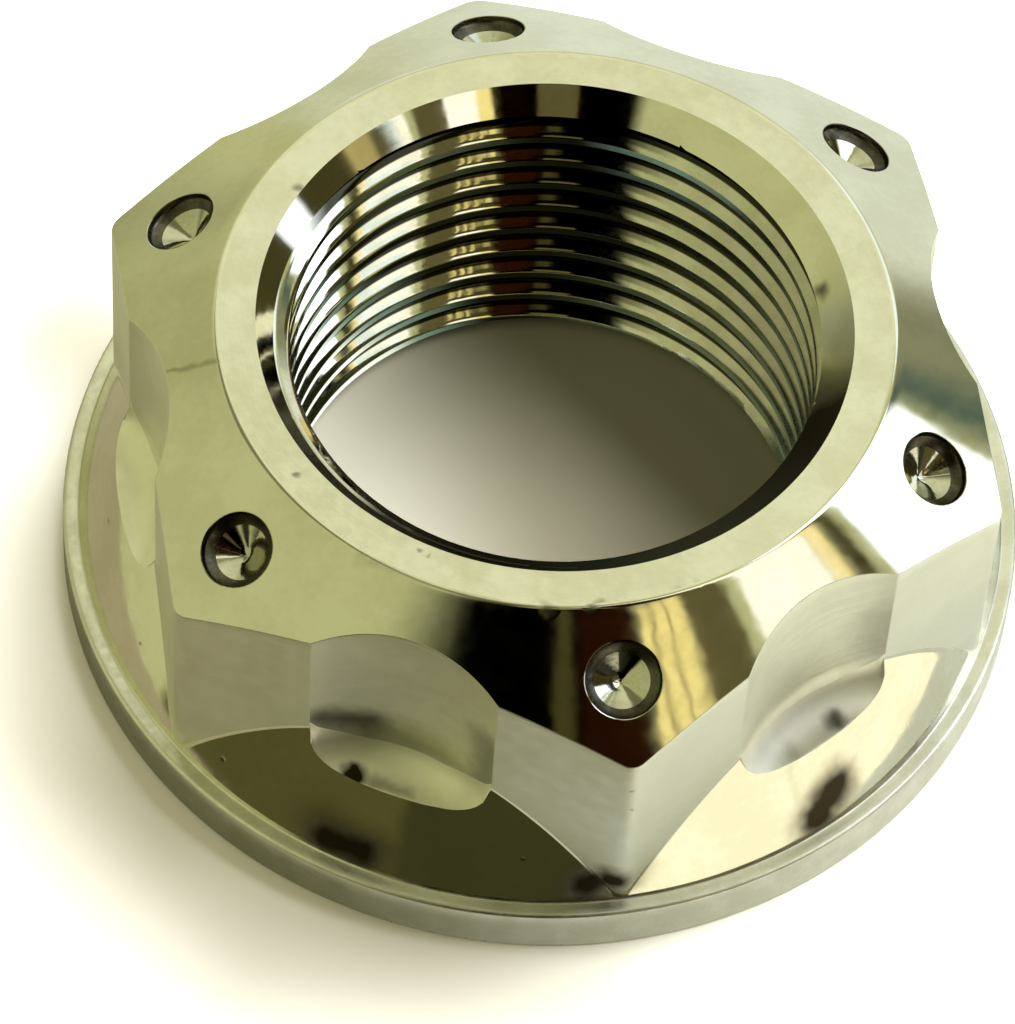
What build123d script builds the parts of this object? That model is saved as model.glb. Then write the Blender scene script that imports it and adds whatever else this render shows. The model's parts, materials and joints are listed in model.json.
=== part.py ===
"""Flanged hexagon lock nut, turned and milled from one piece.

Millimetres, +Z up along the thread. The origin is the centre of the bearing
face, and the hexagon's flats face +X, -X and the four directions 60 degrees on.
"""

from build123d import *

import math
import os

# Thread: the bore is left plain at the thread's minor diameter.
thread_diameter = 22.0
thread_pitch = 1.5
minor_diameter_step = 1.0825  # the minor diameter is less by this many pitches
upper_mouth_diameter = 23.0
lower_mouth_diameter = 22.0

# Hexagon and the turned cone that takes down its upper corners.
sides = 6
across_flats = 32.0
corner_round = 0.8
nut_height = 14.8
crown_diameter = 26.2
crown_blend = 0.5
crown_slope = 31.2

# Flange: a plain rim, a narrow lip and a steep conical skirt up to the flats.
rim_height = 2.2
lip_width = 0.63
corner_room = 0.07  # from each corner of the hexagon out to the skirt's foot
rim_edge_break = 0.2
skirt_slope = 67.0
skirt_blend = 0.7

# Pockets milled down each flat with a round-nosed cutter.
pocket_cutter_diameter = 15.0
pocket_nose_round = 1.6
pocket_depth = 1.0
pocket_floor_height = 5.75

# Drill marks on the cone, one above each corner.
mark_pitch_radius = 15.52
mark_diameter = 2.9
mark_rim_depth = 0.28
drill_point_angle = 118.0

# Room that cutting tools have beyond the metal.
tool_margin = 2.0

flat_reach = across_flats / 2
corner_reach = (flat_reach - corner_round) / math.cos(math.pi / sides) + corner_round
skirt_foot_radius = corner_reach + corner_room
rim_radius = skirt_foot_radius + lip_width
thread_minor_radius = (thread_diameter - minor_diameter_step * thread_pitch) / 2
crown_rise = math.tan(math.radians(crown_slope))
skirt_rise = math.tan(math.radians(skirt_slope))


def ring(*corners):
    """Closed half section in the XZ plane from (radius, height) corners."""
    with BuildSketch(Plane.XZ) as section:
        with BuildLine():
            Polyline(*corners, close=True)
        make_face()
    return section.sketch


def section_corner(section, radius, height):
    """The section's corner that lies at this radius and height."""
    return section.vertices().sort_by_distance(Vector(radius, 0, height))[0]


def turned(section):
    """Solid of revolution about the thread's axis."""
    return revolve(section, Axis.Z)


def hexagon():
    """Bar of the hexagon's section, with the slightly rounded corners of the stock."""
    outline = RegularPolygon(flat_reach, sides, major_radius=False, rotation=180 / sides)
    outline = fillet(outline.vertices(), corner_round)
    return extrude(outline, nut_height)


def crown():
    """Turned envelope: the flat top ring, a small blend and the cone over the corners."""
    top_radius = crown_diameter / 2
    outer_radius = rim_radius + tool_margin
    outer_height = nut_height - (outer_radius - top_radius) * crown_rise
    section = ring(
        (0, 0),
        (outer_radius, 0),
        (outer_radius, outer_height),
        (top_radius, nut_height),
        (0, nut_height),
    )
    return turned(fillet(section_corner(section, top_radius, nut_height), crown_blend))


def flange():
    """Rim with broken edges, its lip, and the skirt that climbs inside the hexagon."""
    skirt_head_radius = flat_reach - pocket_depth
    skirt_top = rim_height + (skirt_foot_radius - skirt_head_radius) * skirt_rise
    section = ring(
        (0, 0),
        (rim_radius, 0),
        (rim_radius, rim_height),
        (skirt_foot_radius, rim_height),
        (skirt_head_radius, skirt_top),
        (0, skirt_top),
    )
    rim_edges = [section_corner(section, rim_radius, height) for height in (0, rim_height)]
    return turned(chamfer(rim_edges, rim_edge_break))


def blank():
    """Hexagon on its flange, blended where they meet, turned down to the crown."""
    bar = hexagon()
    base = flange()
    joined = bar + base
    joined = fillet(new_edges(bar, base, combined=joined), skirt_blend)
    return joined & crown()


def pocket_cutter():
    """Round-nosed cutter standing on the pocket's floor in front of the +X flat."""
    radius = pocket_cutter_diameter / 2
    cutter = Pos(0, 0, pocket_floor_height) * Cylinder(
        radius,
        nut_height + tool_margin - pocket_floor_height,
        align=(Align.CENTER, Align.CENTER, Align.MIN),
    )
    cutter = fillet(cutter.edges().sort_by(Axis.Z)[0], pocket_nose_round)
    return Pos(flat_reach - pocket_depth + radius, 0, 0) * cutter


def drill():
    """Drill standing in the cone above the +X side, square to the cone."""
    radius = mark_diameter / 2
    point_depth = radius / math.tan(math.radians(drill_point_angle / 2))
    bottom = -mark_rim_depth - point_depth
    section = ring(
        (0, bottom),
        (radius, -mark_rim_depth),
        (radius, tool_margin),
        (0, tool_margin),
    )
    height = nut_height - (mark_pitch_radius - crown_diameter / 2) * crown_rise
    return Pos(mark_pitch_radius, 0, height) * Rot(0, crown_slope, 0) * turned(section)


def bore():
    """Bore at the thread's minor diameter with a countersunk mouth at each end."""
    upper_radius = upper_mouth_diameter / 2
    lower_radius = lower_mouth_diameter / 2
    section = ring(
        (0, -tool_margin),
        (lower_radius, -tool_margin),
        (lower_radius, 0),
        (thread_minor_radius, lower_radius - thread_minor_radius),
        (thread_minor_radius, nut_height - (upper_radius - thread_minor_radius)),
        (upper_radius, nut_height),
        (upper_radius, nut_height + tool_margin),
        (0, nut_height + tool_margin),
    )
    return turned(section)


def around(tool, first_angle):
    """Copies of a tool turned about the thread's axis, one for each side."""
    step = 360 / sides
    return [Rot(0, 0, first_angle + step * index) * tool for index in range(sides)]


def lock_nut():
    """The blank with its pockets, drill marks and bore cut out."""
    cutters = around(pocket_cutter(), 0) + around(drill(), 180 / sides) + [bore()]
    return blank() - cutters


os.makedirs("parts", exist_ok=True)
export_step(lock_nut(), "parts/lock_nut.step")
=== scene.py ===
import json
import logging
import math
from dataclasses import dataclass, field
from enum import Enum, IntEnum
from functools import cached_property
from typing import ClassVar

import bpy
import numpy as np
from mathutils import Matrix, Vector


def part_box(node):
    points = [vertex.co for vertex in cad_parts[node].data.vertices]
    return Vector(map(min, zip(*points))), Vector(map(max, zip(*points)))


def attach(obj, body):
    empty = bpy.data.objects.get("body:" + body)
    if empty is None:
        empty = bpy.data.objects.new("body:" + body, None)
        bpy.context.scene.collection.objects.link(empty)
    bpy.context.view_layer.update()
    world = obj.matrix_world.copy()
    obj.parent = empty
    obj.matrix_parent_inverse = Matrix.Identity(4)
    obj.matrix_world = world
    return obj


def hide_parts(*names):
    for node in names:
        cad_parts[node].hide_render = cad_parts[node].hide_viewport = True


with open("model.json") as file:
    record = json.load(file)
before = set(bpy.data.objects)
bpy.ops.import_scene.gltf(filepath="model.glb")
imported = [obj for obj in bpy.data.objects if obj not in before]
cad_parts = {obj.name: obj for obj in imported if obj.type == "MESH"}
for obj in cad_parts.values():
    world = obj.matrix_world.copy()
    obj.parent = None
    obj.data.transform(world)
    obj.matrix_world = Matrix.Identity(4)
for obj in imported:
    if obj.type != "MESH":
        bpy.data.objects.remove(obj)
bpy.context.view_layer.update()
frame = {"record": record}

log = logging.getLogger("lock_nut")
MM = 0.001
Triple = tuple[float, float, float]
Colour = tuple[float, float, float, float]
Socket = bpy.types.NodeSocket


class Tint(Enum):
    """Colours of the studio, as linear red, green and blue."""

    OLIVE_HAZE = (0.59, 0.60, 0.32)
    PALE_HAZE = (0.96, 0.97, 0.69)
    DIM_HAZE = (0.42, 0.42, 0.20)
    MOSS = (0.29, 0.30, 0.19)
    ZENITH = (0.20, 0.19, 0.10)
    CREAM = (0.90, 0.95, 0.86)
    BLACK = (0.0, 0.0, 0.0)
    RED_BROWN = (0.020, 0.005, 0.001)
    DEEP_OLIVE = (0.052, 0.05, 0.018)
    DARK_OLIVE = (0.098, 0.09, 0.03)
    OLIVE = (0.065, 0.058, 0.018)
    BROWN = (0.13, 0.112, 0.045)
    GOLD = (1.2, 1.0, 0.42)
    ORANGE = (1.35, 1.10, 0.55)
    WARM_WHITE = (1.42, 1.37, 1.10)
    YELLOW_WHITE = (1.45, 1.42, 1.32)
    COOL_WHITE = (1.15, 1.30, 1.40)
    DAYLIGHT = (2.5, 2.7, 3.2)
    TEAL = (0.11, 0.16, 0.13)
    TAUPE = (0.50, 0.46, 0.28)
    STONE = (0.66, 0.67, 0.56)
    PALE_STONE = (1.4, 1.41, 1.2)
    FILL = (0.53, 0.50, 0.31)
    BACKDROP = (0.98, 0.98, 0.96)
    PAPER = (0.86, 0.84, 0.78)
    SHADED_PAPER = (0.70, 0.68, 0.58)
    DEEP_SHADE_PAPER = (0.36, 0.34, 0.25)
    SHADOW = (0.12, 0.09, 0.0)
    BORE_MIDDLE = (0.008, 0.008, 0.004)
    BORE_RIGHT = (0.15, 0.19, 0.10)
    BORE_LEFT = (0.22, 0.34, 0.29)
    BORE_GLARE = (1.5, 1.6, 1.6)
    NEAR_LEFT = (0.13, 0.125, 0.065)
    NEAR_RIGHT = (0.95, 0.97, 0.83)
    FAR_LEFT = (0.43, 0.385, 0.23)
    FAR_RIGHT = (0.73, 0.755, 0.66)

    @property
    def rgba(self) -> Colour:
        """The colour with full opacity."""
        return (*self.value, 1.0)


Feed = float | tuple[float, ...] | Socket | Tint


class Zone(IntEnum):
    """Areas of the nut that were cut by different tools and so look different.

    The drill marks' walls are a zone of their own for their painted shade.
    """

    FACED_RING = 0
    CONE = 1
    FLATS = 2
    POCKETS = 3
    SKIRT = 4
    RIM = 5
    BEARING_FACE = 6
    MOUTHS = 7
    THREAD = 8
    DRILL_MARKS = 9
    MARK_WALLS = 10
    POCKET_FEET = 11


@dataclass(frozen=True)
class NutSizes:
    """Sizes of the nut in millimetres, with the azimuths and slopes in degrees.

    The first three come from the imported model, and the rest repeat the solid's own values.
    """

    height: float
    rim_radius: float
    minor_radius: float
    major_radius: float = 11.0
    pitch: float = 1.5
    upper_mouth_radius: float = 11.5
    lower_mouth_radius: float = 11.0
    sides: int = 6
    flat_reach: float = 16.0
    corner_round: float = 0.8
    crown_radius: float = 13.1
    crown_slope: float = 31.2
    rim_height: float = 2.2
    lip_width: float = 0.63
    skirt_slope: float = 67.0
    pocket_radius: float = 7.5
    pocket_nose: float = 1.6
    pocket_depth: float = 1.0
    pocket_floor: float = 5.75
    mark_pitch_radius: float = 15.52
    mark_radius: float = 1.45
    mark_rim_depth: float = 0.28
    mark_point_angle: float = 118.0
    crest_start_below_top: float = 0.239
    crest_start_azimuth: float = 90.0
    first_corner: float = 90.0

    @classmethod
    def from_frame(cls) -> "NutSizes":
        """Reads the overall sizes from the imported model.

        Returns:
            The sizes, in millimetres.
        """
        low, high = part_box("lock_nut")
        thread = next(mount for mount in frame["record"]["mounts"] if mount["name"] == "thread")
        return cls(
            height=high.z / MM,
            rim_radius=(high.x - low.x) / 2 / MM,
            minor_radius=thread["dims"]["r_mm"],
        )

    @property
    def half_angle(self) -> float:
        """Angle from a corner to the middle of a flat, in radians."""
        return math.pi / self.sides

    @property
    def corner_centre(self) -> float:
        """Distance from the axis to the centre of a corner's round."""
        return (self.flat_reach - self.corner_round) / math.cos(self.half_angle)

    @property
    def skirt_foot(self) -> float:
        """Radius where the skirt meets the lip."""
        return self.rim_radius - self.lip_width

    @property
    def skirt_rise(self) -> float:
        """Height that the skirt gains for each millimetre towards the axis."""
        return math.tan(math.radians(self.skirt_slope))

    @property
    def crown_drop(self) -> float:
        """Height that the cone loses for each millimetre away from the axis."""
        return math.tan(math.radians(self.crown_slope))

    @property
    def pocket_centre(self) -> float:
        """Distance from the axis to a pocket cutter's own axis."""
        return self.flat_reach - self.pocket_depth + self.pocket_radius

    def cone_height(self, radius: np.ndarray) -> np.ndarray:
        """Height of the cone's surface: the top less the drop outside the crown's radius."""
        return self.height - (radius - self.crown_radius) * self.crown_drop

    def skirt_radius(self, height: np.ndarray) -> np.ndarray:
        """Radius of the skirt's surface at a height, a straight line in section."""
        return self.skirt_foot - (height - self.rim_height) / self.skirt_rise

    def skirt_height(self, radius: np.ndarray) -> np.ndarray:
        """Height of the skirt's surface at a radius, the same line the other way round."""
        return self.rim_height + (self.skirt_foot - radius) * self.skirt_rise


def turned_points(radius: np.ndarray, azimuth: np.ndarray, height: np.ndarray) -> np.ndarray:
    """Points in space: radius times cosine and sine of the azimuth, and the height."""
    return np.stack([radius * np.cos(azimuth), radius * np.sin(azimuth), height], -1)


def direction(azimuth: float, elevation: float) -> Vector:
    """Unit vector from the nut, at an azimuth from the front towards +X and an elevation.

    Args:
        azimuth: Angle in degrees, nought towards -Y.
        elevation: Angle above the floor in degrees.

    Returns:
        The vector.
    """
    around, up = math.radians(azimuth), math.radians(elevation)
    level = math.cos(up)
    return Vector((math.sin(around) * level, -math.cos(around) * level, math.sin(up)))


def add_object(name: str, data: bpy.types.ID) -> bpy.types.Object:
    """Makes an object at the origin and links it to the scene.

    Args:
        name: Name of the object.
        data: Its mesh, light or camera.

    Returns:
        The object.
    """
    added = bpy.data.objects.new(name, data)
    bpy.context.scene.collection.objects.link(added)
    return added


class PieceMesh:
    """Points and triangles of one piece, each triangle with the zone that it belongs to."""

    def __init__(self) -> None:
        """Starts with nothing in it."""
        self._points: list[np.ndarray] = []
        self._triangles: list[np.ndarray] = []
        self._zones: list[np.ndarray] = []
        self._count = 0

    def add_points(self, points: np.ndarray) -> np.ndarray:
        """Adds points and numbers them.

        Args:
            points: Array whose last axis is x, y, z in millimetres.

        Returns:
            Their numbers, in an array of the same shape without the last axis.
        """
        flat = points.reshape(-1, 3)
        numbers = np.arange(len(flat)) + self._count
        self._points.append(flat)
        self._count += len(flat)
        return numbers.reshape(points.shape[:-1])

    def add_triangles(self, triangles: np.ndarray, zones: np.ndarray) -> None:
        """Adds triangles.

        Args:
            triangles: Point numbers, three for each triangle, seen anticlockwise from outside.
            zones: Zone number of each triangle, or one number for all of them.
        """
        self._triangles.append(triangles.reshape(-1, 3))
        self._zones.append(np.broadcast_to(zones, (len(self._triangles[-1]),)))

    def add_grid(
        self, numbers: np.ndarray, zones: np.ndarray, keep: np.ndarray | None = None
    ) -> None:
        """Fills a grid of points with two triangles a cell.

        Rows run down the outside of the nut and columns run anticlockwise seen from above,
        so each cell is split along its diagonal from upper left to lower right.

        Args:
            numbers: Point numbers, rows by columns.
            zones: Zone of each cell, one row and one column fewer than the points.
            keep: Cells to fill, or None for all.
        """
        upper_left, upper_right = numbers[:-1, :-1], numbers[:-1, 1:]
        lower_left, lower_right = numbers[1:, :-1], numbers[1:, 1:]
        first = np.stack([upper_left, lower_left, lower_right], -1)
        second = np.stack([upper_left, lower_right, upper_right], -1)
        wanted = np.ones(zones.shape, bool) if keep is None else keep
        both = np.concatenate([first[wanted], second[wanted]])
        self.add_triangles(both, np.tile(zones[wanted], 2))

    def build(
        self, name: str, finishes: list[bpy.types.Material], sharp_degrees: float
    ) -> bpy.types.Object:
        """Welds points that share a place, drops what that leaves empty and makes the object.

        Args:
            name: Name of the piece.
            finishes: One material for each zone, in the zones' order.
            sharp_degrees: Edges that turn by more than this stay crisp.

        Returns:
            The finished object, at the origin.
        """
        weld_digits = 5
        points = np.concatenate(self._points)
        _, first, place = np.unique(
            np.round(points, weld_digits), axis=0, return_index=True, return_inverse=True
        )
        triangles = place.reshape(-1)[np.concatenate(self._triangles)]
        zones = np.concatenate(self._zones)
        a, b, c = triangles.T
        whole = (a != b) & (b != c) & (c != a)
        used, triangles = np.unique(triangles[whole], return_inverse=True)
        triangles = triangles.reshape(-1, 3)
        zones = zones[whole]
        mesh = bpy.data.meshes.new(name)
        mesh.vertices.add(len(used))
        mesh.vertices.foreach_set("co", (points[first[used]] * MM).astype(np.float32).ravel())
        mesh.loops.add(triangles.size)
        mesh.loops.foreach_set("vertex_index", triangles.astype(np.int32).ravel())
        mesh.polygons.add(len(triangles))
        mesh.polygons.foreach_set("loop_start", np.arange(0, triangles.size, 3, dtype=np.int32))
        mesh.polygons.foreach_set("material_index", zones.astype(np.int32))
        mesh.polygons.foreach_set("use_smooth", np.ones(len(triangles), bool))
        for finish in finishes:
            mesh.materials.append(finish)
        mesh.update(calc_edges=True)
        mesh.set_sharp_from_angle(angle=math.radians(sharp_degrees))
        self.sharpen_borders(mesh, zones)
        mesh.validate()
        piece = add_object(name, mesh)
        even = piece.modifiers.new("even shading", "WEIGHTED_NORMAL")
        even.mode, even.keep_sharp = "FACE_AREA_WITH_ANGLE", True
        log.info("%s: %d points, %d triangles", name, len(used), len(triangles))
        return piece

    @staticmethod
    def sharpen_borders(mesh: bpy.types.Mesh, zones: np.ndarray) -> None:
        """Marks the edges where two zones meet as sharp, so that neither shades the other.

        Args:
            mesh: The mesh, with its sharp edges by angle already marked.
            zones: Zone of each triangle.
        """
        edges = np.empty(len(mesh.loops), np.int32)
        mesh.loops.foreach_get("edge_index", edges)
        lowest = np.full(len(mesh.edges), len(Zone))
        highest = np.full(len(mesh.edges), -1)
        np.minimum.at(lowest, edges, np.repeat(zones, 3))
        np.maximum.at(highest, edges, np.repeat(zones, 3))
        sharp = np.empty(len(mesh.edges), bool)
        mesh.edges.foreach_get("use_edge_sharp", sharp)
        mesh.edges.foreach_set("use_edge_sharp", sharp | (lowest != highest))


@dataclass
class Columns:
    """Azimuths at which the nut's section is worked out, closer together at corners and knees."""

    sizes: NutSizes
    corner_steps: int = 4
    flat_steps: int = 15
    knee_steps: int = 4
    pocket_steps: int = 17
    knee_zone_degrees: float = 0.25
    azimuths: np.ndarray = field(init=False)

    def __post_init__(self) -> None:
        """Lays out half a side from corner to middle, mirrors it and repeats it on each side."""
        half = self.half_side()
        side = np.concatenate([half[:-1], 2 * half[-1] - half[::-1]])[:-1]
        turn = 2 * math.pi / self.sizes.sides
        start = math.radians(self.sizes.first_corner)
        sides = start + turn * np.arange(self.sizes.sides)[:, None] + side[None, :]
        self.azimuths = sides.ravel()

    def half_side(self) -> np.ndarray:
        """Offsets from a corner to the middle of a flat.

        Returns:
            Angles in radians, from nought, with the corner's round and the knee as even stretches.
        """
        knee = self.knee_offset()
        zone = math.radians(self.knee_zone_degrees)
        marks = [0.0, self.round_offset(), knee - zone, knee + zone, self.sizes.half_angle]
        steps = [self.corner_steps, self.flat_steps, self.knee_steps, self.pocket_steps]
        spans = [
            np.linspace(low, high, count, endpoint=False)
            for low, high, count in zip(marks, marks[1:], steps)
        ]
        return np.concatenate([*spans, [marks[-1]]])

    def round_offset(self) -> float:
        """Works out where a corner's round meets the flat, from the round's centre and radius.

        Returns:
            The angle from the corner, in radians.
        """
        s = self.sizes
        across = s.corner_round * math.sin(s.half_angle)
        along = s.corner_centre + s.corner_round * math.cos(s.half_angle)
        return math.atan2(across, along)

    def knee_offset(self) -> float:
        """Works out where a pocket's wall starts, from the chord that it cuts in the flat.

        Returns:
            The angle from the corner, in radians.
        """
        s = self.sizes
        short = s.pocket_centre - s.flat_reach
        half_chord = math.sqrt(s.pocket_radius**2 - short**2)
        return s.half_angle - math.atan2(half_chord, s.flat_reach)

    def from_corner(self) -> np.ndarray:
        """Measures how far each column is from its nearest corner.

        Returns:
            The angles in radians, never negative.
        """
        half = self.sizes.half_angle
        turned = self.azimuths - math.radians(self.sizes.first_corner)
        return np.abs((turned + half) % (2 * half) - half)

    def hexagon_radius(self) -> np.ndarray:
        """Works out the hexagon: the flat's distance over the cosine, and an arc at each corner.

        Returns:
            The radius at each column.
        """
        s = self.sizes
        away = self.from_corner()
        flat = s.flat_reach / np.cos(s.half_angle - away)
        inside = np.maximum(s.corner_round**2 - (s.corner_centre * np.sin(away)) ** 2, 0)
        arc = s.corner_centre * np.cos(away) + np.sqrt(inside)
        return np.where(away < self.round_offset(), arc, flat)

    def pocket_wall(self, cutter_radius: np.ndarray) -> np.ndarray:
        """Radius where the ray at each column first meets a cutter's circle.

        The near root of the ray and circle is used, and infinity where the ray misses.

        Args:
            cutter_radius: Radius of the cutter at the height in question, one for each column.

        Returns:
            The radius at each column.
        """
        s = self.sizes
        aside = s.half_angle - self.from_corner()
        inside = cutter_radius**2 - (s.pocket_centre * np.sin(aside)) ** 2
        near = s.pocket_centre * np.cos(aside) - np.sqrt(np.maximum(inside, 0))
        return np.where(inside > 0, near, np.inf)


def soft_minimum(a: np.ndarray, b: np.ndarray, width: float) -> np.ndarray:
    """Lesser of two curves, with a small parabola where they cross.

    Args:
        a: First curve.
        b: Second curve.
        width: Difference below which the two are blended.

    Returns:
        The blended lesser curve.
    """
    overlap = np.maximum(width - np.abs(a - b), 0) / width
    return np.minimum(a, b) - overlap**2 * width / 4


@dataclass
class OuterSkin:
    """Outside of the nut from the upper mouth to the lower one, as one grid of sections.

    Each reach is the length that a small curve at an edge takes from its two stretches. Beside
    the pockets, where a column has no nose and no foot, its two corners on the flat rise by a
    low and a band share of the flat's height, fading in over an angle.
    """

    sizes: NutSizes
    columns: Columns
    knee_blend: float = 0.03
    crown_reach: float = 0.14
    edge_reach: float = 0.035
    skirt_blend_reach: float = 0.15
    lip_reach: float = 0.06
    rim_reach: float = 0.16
    cone_steps: int = 14
    flare_steps: int = 12
    wall_steps: int = 4
    cone_stretch: int = 1
    flare_stretch: int = 3
    window_rows: tuple[int, int] = (2, 11)
    window_degrees: float = 7.0
    fade_angle: float = 0.08
    low_share: float = 0.25
    band_share: float = 0.3
    curve_share: float = 0.45
    cone_first_row: int = field(init=False, default=0)

    def flare_end(self) -> tuple[np.ndarray, np.ndarray]:
        """Where the pocket's rounded foot leaves the metal, found by halving the angle's span.

        The foot is a circle of the cutter's nose radius: at angle t the cutter's radius is the
        full one less the nose times one minus cos t, and its height is the floor plus the nose
        times one minus sin t.

        Returns:
            The end angle at each column, and True where the column crosses a pocket.
        """
        hexagon = self.columns.hexagon_radius()
        wall = self.columns.pocket_wall(np.full(len(hexagon), self.sizes.pocket_radius))
        crossed = wall < hexagon
        low = np.zeros(len(wall))
        high = np.full(len(wall), math.pi / 2)
        halvings = 44
        for _ in range(halvings):
            middle = (low + high) / 2
            radius, height = self.flare_point(middle)
            outside = radius > self.envelope(height)
            low = np.where(outside, low, middle)
            high = np.where(outside, middle, high)
        radius, height = self.flare_point(np.full(len(wall), math.pi / 2))
        reaches_floor = radius <= self.envelope(height)
        return np.where(reaches_floor, math.pi / 2, low), crossed

    def flare_point(self, angle: np.ndarray) -> tuple[np.ndarray, np.ndarray]:
        """Finds a point on the pocket's rounded foot in each column.

        Args:
            angle: Angle round the foot for each column, nought at its top.

        Returns:
            The radius and the height at each column.
        """
        s = self.sizes
        cutter = s.pocket_radius - s.pocket_nose * (1 - np.cos(angle))
        height = s.pocket_floor + s.pocket_nose * (1 - np.sin(angle))
        return self.columns.pocket_wall(cutter), height

    def envelope(self, height: np.ndarray) -> np.ndarray:
        """Outer radius without the pockets: the greater of hexagon and skirt."""
        return np.maximum(self.columns.hexagon_radius(), self.sizes.skirt_radius(height))

    def section_keys(self) -> tuple[list[np.ndarray], np.ndarray, np.ndarray, np.ndarray]:
        """Corners of every column's section, from the upper mouth round to the lower mouth.

        Returns:
            The corners as arrays of (radius, height) for each column, the flare's end angles,
            which columns cross a pocket, and which end on the flat's own plane.
        """
        s = self.sizes
        hexagon = self.columns.hexagon_radius()
        pocket = self.columns.pocket_wall(np.full(len(hexagon), s.pocket_radius))
        wall = soft_minimum(hexagon, np.minimum(pocket, 2 * hexagon), self.knee_blend)
        end_angle, crossed = self.flare_end()
        flare_radius, flare_height = self.flare_point(end_angle)
        edge_height = s.cone_height(wall)
        skirt_top = s.skirt_height(hexagon)
        nose_top = s.pocket_floor + s.pocket_nose

        knee = self.columns.knee_offset()
        away = np.clip((knee - self.columns.from_corner()) / self.fade_angle, 0, 1)
        knee_gap = nose_top - s.skirt_height(s.flat_reach / math.cos(s.half_angle - knee))
        risen = (edge_height - skirt_top) * away
        plain_low = skirt_top + knee_gap * (1 - away) + self.low_share * risen
        plain_high = plain_low + self.band_share * risen

        on_floor = end_angle >= math.pi / 2
        on_flat = ~on_floor & (hexagon > s.skirt_radius(flare_height)) | ~crossed
        held = np.minimum(flare_radius, self.envelope(flare_height))
        flare_radius = np.where(crossed, held, wall)
        flare_height = np.where(crossed, flare_height, plain_low)
        foot_radius = np.where(on_flat, np.where(crossed, hexagon, wall), flare_radius)
        foot_height = np.where(on_flat, skirt_top, flare_height)
        foot_radius = np.where(crossed & on_floor, s.skirt_radius(s.pocket_floor), foot_radius)

        keys = [
            (s.upper_mouth_radius, s.height),
            (s.crown_radius, s.height),
            (wall, edge_height),
            (wall, np.where(crossed, nose_top, plain_high)),
            (flare_radius, flare_height),
            (foot_radius, foot_height),
            (s.skirt_foot, s.rim_height),
            (s.rim_radius, s.rim_height),
            (s.rim_radius, 0.0),
            (s.lower_mouth_radius, 0.0),
        ]
        spread = [[np.broadcast_to(part, hexagon.shape) for part in key] for key in keys]
        return [np.stack(key, -1) for key in spread], end_angle, crossed, on_flat

    def rows(self) -> tuple[np.ndarray, np.ndarray]:
        """Points of every column's section, as rows down the outside.

        Each stretch between two corners is divided evenly, and each corner is replaced by a
        quadratic curve with the corner as its control point. A line of the table gives the
        steps and the zone of the curve before a stretch, then those of the stretch itself.

        Returns:
            The rows as (row, column, (radius, height)), and the zone of every cell.
        """
        keys, end_angle, crossed, on_flat = self.section_keys()
        reach = self.corner_reaches(keys, crossed, on_flat)
        in_pocket = crossed & np.roll(crossed, -1)
        plain = np.where(on_flat & np.roll(on_flat, -1), Zone.FLATS, Zone.POCKET_FEET)
        wall = np.where(in_pocket, Zone.POCKETS, Zone.FLATS)
        foot = np.where(in_pocket, Zone.POCKET_FEET, wall)
        blend = np.where(in_pocket, plain, Zone.SKIRT)
        stretches = [
            (0, Zone.FACED_RING, 5, Zone.FACED_RING),
            (4, Zone.CONE, self.cone_steps, Zone.CONE),
            (3, wall, 8, wall),
            (0, foot, self.flare_steps, foot),
            (2, plain, 4, plain),
            (4, blend, 8, Zone.SKIRT),
            (3, Zone.RIM, 2, Zone.RIM),
            (3, Zone.RIM, 3, Zone.RIM),
            (3, Zone.BEARING_FACE, 6, Zone.BEARING_FACE),
        ]
        rows: list[np.ndarray] = []
        zones: list[np.ndarray] = []
        for index, (curve_steps, curve_zone, steps, zone) in enumerate(stretches):
            ends = keys[index], keys[index + 1], reach[index], reach[index + 1]
            stretch = self.straight(*ends, steps)
            if index == self.flare_stretch:
                bent = self.flare(end_angle, reach[index + 1], steps)
                stretch = np.where(crossed[None, :, None], bent, stretch)
            if curve_steps:
                rows.extend(self.corner_curve(rows[-1], keys[index], stretch[0], curve_steps))
            if index == self.cone_stretch:
                self.cone_first_row = len(rows) - 1
            rows.extend(stretch[1:] if rows else stretch)
            zones.extend([np.broadcast_to(curve_zone, wall.shape)] * curve_steps)
            zones.extend([np.broadcast_to(zone, wall.shape)] * steps)
            if index == self.flare_stretch:
                zones[-steps : -steps + self.wall_steps] = [wall] * self.wall_steps
        return np.stack(rows), np.stack(zones)

    @staticmethod
    def straight(
        start: np.ndarray, end: np.ndarray, cut_start: np.ndarray, cut_end: np.ndarray, steps: int
    ) -> np.ndarray:
        """Even steps along the line between two corners, less what their curves take.

        Args:
            start: Corner of each column where the line starts.
            end: Corner of each column where it ends.
            cut_start: Length left out at the start.
            cut_end: Length left out at the end.
            steps: Number of steps.

        Returns:
            The points, steps plus one rows of them.
        """
        along = end - start
        length = np.linalg.norm(along, axis=-1, keepdims=True)
        unit = np.divide(along, length, out=np.zeros_like(along), where=length > 0)
        first = start + unit * cut_start[:, None]
        last = end - unit * cut_end[:, None]
        return first + (last - first) * np.linspace(0, 1, steps + 1)[:, None, None]

    def flare(self, end_angle: np.ndarray, cut_end: np.ndarray, steps: int) -> np.ndarray:
        """Even steps of angle round the pocket's rounded foot, less what its last curve takes.

        Args:
            end_angle: Angle at which the foot ends in each column.
            cut_end: Length left out at the end.
            steps: Number of steps.

        Returns:
            The points, steps plus one rows of them, with noughts where no pocket is.
        """
        last = np.clip(end_angle - cut_end / self.sizes.pocket_nose, 0, None)
        rows = [self.flare_point(last * step / steps) for step in range(steps + 1)]
        bent = np.stack([np.stack(row, -1) for row in rows])
        return np.where(np.isfinite(bent), bent, 0)

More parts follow.
